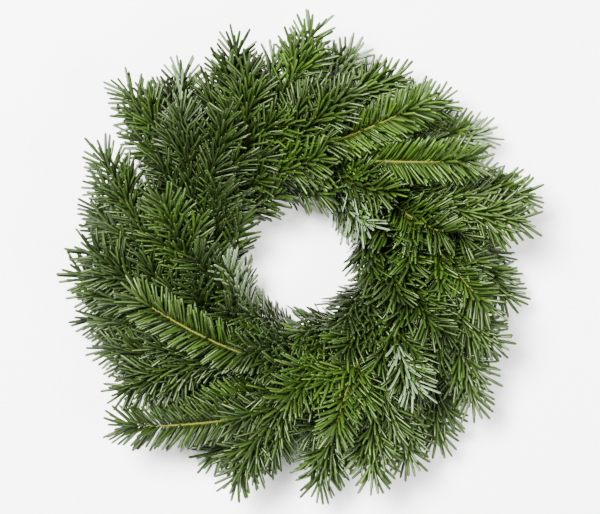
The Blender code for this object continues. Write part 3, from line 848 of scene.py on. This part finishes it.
def set_on_points(tree, points, shapes, roll, seed, look):
    """Sets one of a collection's shapes on each point, turned along its `heading` with `facing` up."""
    vector = {"data_type": "FLOAT_VECTOR"}
    heading, facing, size = (add(tree, STORED, vector, Name=key).outputs[0] for key in VECTORS)
    axes = {"primary_axis": "X", "secondary_axis": "Z"}
    turned = add(tree, "FunctionNodeAxesToRotation", axes, _0=heading, _1=facing).outputs[0]
    low = add(tree, "ShaderNodeMath", {"operation": "MULTIPLY"}, _0=roll, _1=-1.0).outputs[0]
    spin = add(tree, "FunctionNodeRandomValue", {"data_type": "FLOAT"}, _2=low, _3=roll, Seed=seed)
    spun = add(tree, "ShaderNodeCombineXYZ", X=spin.outputs[1]).outputs[0]
    info = add(tree, "GeometryNodeCollectionInfo", Collection=shapes, Separate_Children=True)
    picked = {"Points": points, "Instance": info.outputs[0], "Pick_Instance": True}
    placed = add(tree, "GeometryNodeInstanceOnPoints", **picked, Rotation=turned, Scale=size).outputs[0]
    rolled = add(tree, "GeometryNodeRotateInstances", Instances=placed, Rotation=spun).outputs[0]
    real = add(tree, "GeometryNodeRealizeInstances", Geometry=rolled).outputs[0]
    return add(tree, "GeometryNodeSetMaterial", Geometry=real, Material=look).outputs[0]


print("kinds of plan points:", {"twig": TWIG, "needle": NEEDLE, "bud": BUD})

# %% [markdown]
# The tree has named inputs for the sides of the bark, for how far a needle may roll about its own axis,
# and for the shapes and finishes. The thickness stored on the plan scales a circle of radius 1.

# %% Spray tree


def spray_tree():
    tree, given = new_tree(
        "fir_spray",
        Bark_sides=("NodeSocketInt", 7),
        Needle_roll=("NodeSocketFloat", 0.25),
        Seed=("NodeSocketInt", 3),
        Needles=("NodeSocketCollection", None),
        Buds=("NodeSocketCollection", None),
        Needle_finish=("NodeSocketMaterial", None),
        Bud_finish=("NodeSocketMaterial", None),
        Bark_finish=("NodeSocketMaterial", None),
    )
    lines = add(tree, "GeometryNodeMeshToCurve", Mesh=of_kind(tree, TWIG)).outputs[0]
    thick = add(tree, STORED, {"data_type": "FLOAT"}, Name="thick").outputs[0]
    circle = add(tree, "GeometryNodeCurvePrimitiveCircle", Resolution=given["Bark sides"], Radius=1.0)
    swept = {"Curve": lines, "Profile_Curve": circle.outputs[0], "Scale": thick}
    skin = add(tree, "GeometryNodeCurveToMesh", **swept, Fill_Caps=True).outputs[0]
    bark = add(tree, "GeometryNodeSetMaterial", Geometry=skin, Material=given["Bark finish"]).outputs[0]
    roll, seed = given["Needle roll"], given["Seed"]
    leafy = set_on_points(tree, of_kind(tree, NEEDLE), given["Needles"], roll, seed, given["Needle finish"])
    tips = set_on_points(tree, of_kind(tree, BUD), given["Buds"], roll, seed, given["Bud finish"])
    join = add(tree, "GeometryNodeJoinGeometry")
    for part in (bark, leafy, tips):
        tree.links.new(part, join.inputs[0])
    add(tree, "NodeGroupOutput", Geometry=join.outputs[0])
    return tree


fir_spray = spray_tree()
print("nodes in the spray tree:", len(fir_spray.nodes))

# %% [markdown]
# ## The plan of each spray
#
# The plan's mesh is filled from arrays: points, lines, and the named attributes that the tree reads.

# %% Plan meshes
NUMBERS = {"kind": "INT", "thick": "FLOAT", "age": "FLOAT", "tone": "FLOAT", "fresh": "FLOAT"}


def plan_mesh(name, rows, edges):
    """A mesh of loose points and lines. Rows are dicts of arrays, one for each run of points."""
    points = np.vstack([row["points"] for row in rows])
    mesh = bpy.data.meshes.new(name)
    mesh.from_pydata(points.tolist(), edges, [])
    for key, kind in (NUMBERS | {key: "FLOAT_VECTOR" for key in VECTORS}).items():
        width = 3 if key in VECTORS else 1
        values = [np.zeros((len(row["points"]), width)) + row.get(key, 0) for row in rows]
        values = np.vstack(values).ravel().astype(np.int32 if kind == "INT" else np.float32)
        attribute = mesh.attributes.new(key, kind, "POINT")
        attribute.data.foreach_set("vector" if key in VECTORS else "value", values)
    return mesh


def column(values):
    return np.asarray(values, float).reshape(-1, 1)


print("attributes on a plan:", len(NUMBERS) + len(VECTORS))

# %% [markdown]
# ** Light and dark.** Sprays from different branches differ in tone at random, and the mean tone also
# follows where a spray lies: in the photo those at the upper left and the lower right are the darkest, and
# those on the right the freshest green. Needles of one spray vary a little, and those with twigs over them
# get painted shade: their tone and share of yellow-green fall, so they go nearly black.

# %% Tone and freshness
MEAN_TONE, TONE_OF_SPRAYS, TONE_OF_NEEDLES = 0.47, 0.08, 0.13  # a mean and two spreads
DARK_PLACES = (((-80, 130), 75, 0.24), ((80, -70), 60, 0.14))  # middle and spread in mm, and how dark
LIGHTER_BELOW, LIGHTER_LEFT = 0.5, 0.7  # tone for each metre
OUTER_FROM, OUTER_BAND = 130 * MM, 30 * MM
# Painted shade: a needle is darkened by the share of twig points that lie well above it.
BURIED_WITHIN = 16 * MM
BURIED_UNDER = 7 * MM
BURIED_BY = 5  # twig points above a needle, or more
FRESH_SIDE = (0.77, 0.64)  # the upper right
all_twig_points = np.vstack([twig.points for twigs in sprays.values() for twig in twigs])


def buried(points):
    """How many twig points lie well above each point, as a share from 0 to 1."""
    apart = all_twig_points[None] - points[:, None]
    above = (np.hypot(apart[..., 0], apart[..., 1]) < BURIED_WITHIN) & (apart[..., 2] > BURIED_UNDER)
    return np.clip(above.sum(1) / BURIED_BY, 0, 1)


def tone_at(tip):
    """The mean tone of a spray from 0 to 1, by where its tip lies."""
    # Inner sprays are lighter towards the lower left, and outer ones towards the right
    outer = np.clip((np.hypot(tip[0], tip[1]) - OUTER_FROM) / OUTER_BAND, 0, 1)
    tone = MEAN_TONE - LIGHTER_BELOW * tip[1] * (1 - outer) - LIGHTER_LEFT * tip[0] * (1 - 1.8 * outer)
    for middle, spread, darker in DARK_PLACES:
        away = np.linalg.norm(tip[:2] - np.array(middle) * MM) / (spread * MM)
        tone -= darker * np.exp(-(away**2))
    return tone


def spray_fresh(tip):
    """A spray's share of yellow-green."""
    towards = unit(tip[:2]) @ FRESH_SIDE
    return float(np.clip(0.28 + 0.5 * max(0, towards) + rng.normal(0, 0.12), 0.0, 0.95))


print("tone at the dark places:", [round(tone_at(np.array(middle) * MM), 2) for middle, *_ in DARK_PLACES])

# %% [markdown]
# **Silvery twigs.** Here and there a twig was bound in with its underside up and shows its pale bands. A
# quarter of its needles twist back to the light. On one crown shoot only the outer part is rolled over.

# %% Twigs turned over
TURNED_OVER = {  # the numbers of each spray's twigs that are, where 0 is the main one
    "mid_14": (0, 1, 2), "low_17": (0, 1, 2), "inner_10": (0,), "low_01": (0, 1), "mid_02": (2,),
    "inner_00": (0, 1, 3), "shoulder_00": (1, 3), "crown_05": (0,),
}
HALF_TURNED = ("crown_05",)
ROLLED_FROM = 0.55
TWISTED_BACK = 0.25


def turned_facing(facing, from_share):
    """Turns most needles over, from a share of the twig's length on."""
    outer = np.linspace(0, 1, len(facing)) > from_share
    turned = outer & (rng.random(len(facing)) < 1 - TWISTED_BACK)
    return np.where(turned[:, None], -facing, facing)


print("twigs turned over:", sum(map(len, TURNED_OVER.values())))

# %% [markdown]
# **One spray.** Its plan is put together twig by twig: first all the lines of bark, then for each twig
# its needles and the three buds at its tip, a large one between two small ones.

# %% Plan of one spray
OLD_WOOD = 45 * MM
BUD_SIZES = np.array([[3.2, 2.0, 2.0], [2.4, 1.5, 1.5], [2.4, 1.5, 1.5]]) * MM
BUD_SPREAD = np.array([0, 0.55, -0.55])[:, None]
BUD_SUNK = 0.6 * MM


def bark_row(twig, is_main):
    along = lengths_along(twig.points)
    age = np.clip(1.2 - along / OLD_WOOD, 0, 1) if is_main else 0 * along
    thick = twig_radius(twig, along, is_main)
    return {"points": twig.points, "kind": TWIG, "thick": column(thick), "age": column(age)}


def needle_row(name, number, twig, comb, spray_tone, fresh):
    roots, direction, facing, length = seat_needles(twig, number == 0, comb)
    if number in TURNED_OVER.get(name, ()):
        facing = turned_facing(facing, ROLLED_FROM if name in HALF_TURNED else 0)
    tips = bend_clear(roots, direction, length)
    heading = tips - roots
    size = np.linalg.norm(heading, axis=1)
    width = NEEDLE_WIDTH * rng.uniform(0.88, 1.1, len(size))
    # Painted shade: needles with twigs above them lose tone and freshness.
    painted_light_share = 1 - buried(0.5 * (roots + tips))
    tone = np.clip(rng.normal(spray_tone, TONE_OF_NEEDLES, len(size)) * painted_light_share, 0, 1)
    return {
        "points": roots, "kind": NEEDLE, "heading": heading, "facing": facing, "tone": column(tone),
        "fresh": column(fresh * painted_light_share), "size": np.stack([size, width, width], axis=1),
    }


def bud_row(twig):
    end, tangent, up, right = frames_along(twig, np.full(3, lengths_along(twig.points)[-1]))
    heading = unit(tangent + BUD_SPREAD * right)
    points = end - BUD_SUNK * tangent
    return {"points": points, "kind": BUD, "heading": heading, "facing": up, "size": BUD_SIZES}


def plan_of_spray(name, twigs):
    tip = twigs[0].points[-1]
    fresh, spray_tone = spray_fresh(tip), rng.normal(tone_at(tip), TONE_OF_SPRAYS)
    comb = OPEN_COMB if name in OPEN_PARTING else CLOSED_COMB
    rows, edges, start = [], [], 0
    for number, twig in enumerate(twigs):
        rows.append(bark_row(twig, number == 0))
        edges += [(start + i, start + i + 1) for i in range(len(twig.points) - 1)]
        start += len(twig.points)
    for number, twig in enumerate(twigs):
        rows += [needle_row(name, number, twig, comb, spray_tone, fresh), bud_row(twig)]
    return plan_mesh(name, rows, edges)


print("a bud's length and width:", np.round(BUD_SIZES[0, :2] / MM, 1), "mm")

# %% [markdown]
# ## Growing the sprays
#
# Evaluating the tree gives one mesh a spray, with three finishes on it. That mesh stands in for the
# CAD's spray, and the plan and its modifier go, so nothing later depends on live nodes.

# %% Every spray


def grown(name, mesh, tree, **inputs):
    """Runs a tree on a mesh and gives the result as a plain object at the origin."""
    plan = bpy.data.objects.new(name + "_plan", mesh)
    bpy.context.scene.collection.objects.link(plan)
    modifier = plan.modifiers.new("grow", "NODES")
    modifier.node_group = tree
    for item in tree.interface.items_tree:
        if item.in_out == "INPUT" and item.name.replace(" ", "_") in inputs:
            modifier[item.identifier] = inputs[item.name.replace(" ", "_")]
    depsgraph = bpy.context.evaluated_depsgraph_get()
    result = bpy.data.meshes.new_from_object(plan.evaluated_get(depsgraph), depsgraph=depsgraph)
    bpy.data.objects.remove(plan)
    result.name = name
    piece = bpy.data.objects.new(name, result)
    bpy.context.scene.collection.objects.link(piece)
    return piece


shapes = {"Needles": needles, "Buds": buds}
looks = {"Needle_finish": needle_look, "Bud_finish": bud_look, "Bark_finish": bark_look}
triangles = 0
for name, twigs in sprays.items():
    plan = plan_of_spray(name.removeprefix("spray_"), twigs)
    piece = grown("fir_" + name, plan, fir_spray, **shapes, **looks)
    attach(piece, "root")
    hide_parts(name)
    triangles += sum(len(p.vertices) - 2 for p in piece.data.polygons)
print("triangles in all sprays:", triangles)

# %% [markdown]
# ## Wire and straw
#
# **Green binding wire.** Iron wire, drawn and enamelled green. The CAD's wire has three sides, so here
# the same route is swept with a circle of eight sides in a second small tree.

# %% Wire piece
WEAR_PER_MM = 0.4
ENAMEL = ((0.35, "#1d4a2c"), (0.75, "#2f6b41"))


def sweep_tree():
    tree, given = new_tree(
        "swept_wire",
        Radius=("NodeSocketFloat", WIRE_RADIUS),
        Sides=("NodeSocketInt", 8),
        Finish=("NodeSocketMaterial", None),
    )
    line = add(tree, "GeometryNodeMeshToCurve", Mesh=given["Geometry"]).outputs[0]
    circle = add(tree, "GeometryNodeCurvePrimitiveCircle", Resolution=given["Sides"], Radius=given["Radius"])
    skin = add(tree, "GeometryNodeCurveToMesh", Curve=line, Profile_Curve=circle.outputs[0], Fill_Caps=True)
    smooth = add(tree, "GeometryNodeSetShadeSmooth", Geometry=skin.outputs[0]).outputs[0]
    real = add(tree, "GeometryNodeRealizeInstances", Geometry=smooth).outputs[0]
    look = add(tree, "GeometryNodeSetMaterial", Geometry=real, Material=given["Finish"]).outputs[0]
    add(tree, "NodeGroupOutput", Geometry=look)
    return tree


def wire_finish():
    """Enamelled iron: a smooth paint gloss, and paler where it has rubbed."""
    material, tree, shader = finish("green_enamelled_wire", Roughness=0.35, Metallic=0.0)
    place = add(tree, "ShaderNodeTexCoord").outputs["Object"]
    wear = add(tree, "ShaderNodeTexNoise", Vector=place, Scale=WEAR_PER_MM / MM, Detail=2.0).outputs["Fac"]
    surface(tree, shader, add(tree, "ShaderNodeValToRGB", {"stops": ENAMEL}, Fac=wear).outputs["Color"])
    return material


line = bpy.data.meshes.new("wire_line")
line.from_pydata(route.tolist(), [(i, i + 1) for i in range(len(route) - 1)], [])
wire = grown("green_binding_wire", line, sweep_tree(), Finish=wire_finish())
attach(wire, "root")
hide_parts("binding_wire")
print("wire faces:", len(wire.data.polygons))

# %% [markdown]
# **Straw.** The ring is a bundle of rye stalks pressed round. The stalks run along the ring, so the
# pattern is drawn in ring coordinates: the angle round the axis, drawn out, against the place across.
# The CAD's own mesh is kept, because sprays hide nearly all of it.

# %% Straw finish on the CAD ring
STALKS_PER_MM = 0.55
DRAWN_OUT = 4 * MM  # of pattern for each radian round the ring, so a stalk looks long
STRAW_GOLD = ((0.3, "#7d6230"), (0.5, "#b8964f"), (0.7, "#dcc07c"))


def straw_finish():
    """Dry straw: matt gold with long fine grooves."""
    material, tree, shader = finish("pressed_rye_straw", Roughness=0.6)
    place = add(tree, "ShaderNodeTexCoord").outputs["Object"]
    x, y, z = add(tree, "ShaderNodeSeparateXYZ", Vector=place).outputs
    flat = add(tree, "ShaderNodeCombineXYZ", X=x, Y=y).outputs[0]
    radius = add(tree, "ShaderNodeVectorMath", {"operation": "LENGTH"}, _0=flat).outputs["Value"]
    angle = add(tree, "ShaderNodeMath", {"operation": "ARCTAN2"}, _0=x, _1=y).outputs[0]
    drawn_out = add(tree, "ShaderNodeMath", {"operation": "MULTIPLY"}, _0=angle, _1=DRAWN_OUT).outputs[0]
    stalks = add(tree, "ShaderNodeCombineXYZ", X=drawn_out, Y=radius, Z=z).outputs[0]
    noise = add(tree, "ShaderNodeTexNoise", Vector=stalks, Scale=STALKS_PER_MM / MM, Detail=3.0)
    grain = noise.outputs["Fac"]
    gold = add(tree, "ShaderNodeValToRGB", {"stops": STRAW_GOLD}, Fac=grain).outputs["Color"]
    surface(tree, shader, gold, grain, strength=0.9, depth=1 * MM)
    return material


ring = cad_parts["straw_ring"]
ring.data.materials.clear()
ring.data.materials.append(straw_finish())
print("straw ring faces:", len(ring.data.polygons))

# %% [markdown]
# ## Studio
#
# The photo is a cut-out on white, seen straight from above, with deep dark gaps between the needles. A
# strong softbox high up at the upper left, a weak one at the lower right and a dim sky keep those gaps
# dark. On the white floor the soft shadow shows that the wreath lies.

# %% Floor and lights
FLOOR_HALF = 3.0
FLOOR_HEIGHT = -0.5 * MM
SKY_STRENGTH = 0.2


def softbox(name, place, width, power):
    light = bpy.data.lights.new(name, "AREA")
    light.shape = "DISK"
    light.size = width
    light.energy = power
    lamp = bpy.data.objects.new(name, light)
    lamp.location = place
    aim = -lamp.location
    lamp.rotation_euler = aim.to_track_quat("-Z", "Y").to_euler()
    bpy.context.scene.collection.objects.link(lamp)
    return lamp


floor_mesh = bpy.data.meshes.new("floor")
corners = [(x * FLOOR_HALF, y * FLOOR_HALF, FLOOR_HEIGHT) for x, y in ((-1, -1), (1, -1), (1, 1), (-1, 1))]
floor_mesh.from_pydata(corners, [], [(0, 1, 2, 3)])
paper = finish("white_paper_sweep", Roughness=0.9, Base_Color=linear("#f8f8f7"))[0]
floor_mesh.materials.append(paper)
floor = bpy.data.objects.new("floor", floor_mesh)
bpy.context.scene.collection.objects.link(floor)
lamps = [
    softbox("softbox_key", (-0.9, 0.8, 2.2), width=1.1, power=495),
    softbox("softbox_right", (1.3, -0.6, 1.6), width=1.2, power=80),
]
world = bpy.data.worlds.new("studio")
bpy.context.scene.world = world
world.use_nodes = True
sky = world.node_tree.nodes["Background"]
sky.inputs["Color"].default_value = linear("#f7f9ff")
sky.inputs["Strength"].default_value = SKY_STRENGTH
print("lights:", len(lamps))

# %% [markdown]
# **Camera.** A long lens straight above flattens the wreath as in the photo. Its height follows from
# the photo's scale, 0.82 mm a pixel at the middle of the foliage.

# %% Camera
PHOTO_WIDTH = 600  # pixels
MM_PER_PIXEL = 0.82
SENSOR_WIDTH = 36  # mm
LENS = 132  # mm
MID_FOLIAGE = 0.05
PHOTO_MIDDLE_Y = 1.6 * MM

lens = bpy.data.cameras.new("camera")
lens.sensor_width = SENSOR_WIDTH
lens.lens = LENS
camera = bpy.data.objects.new("camera", lens)
height = MID_FOLIAGE + LENS / SENSOR_WIDTH * PHOTO_WIDTH * MM_PER_PIXEL * MM
camera.location = (0.0, PHOTO_MIDDLE_Y, height)
bpy.context.scene.collection.objects.link(camera)
bpy.context.scene.camera = camera
print("camera height:", round(height, 3), "m")
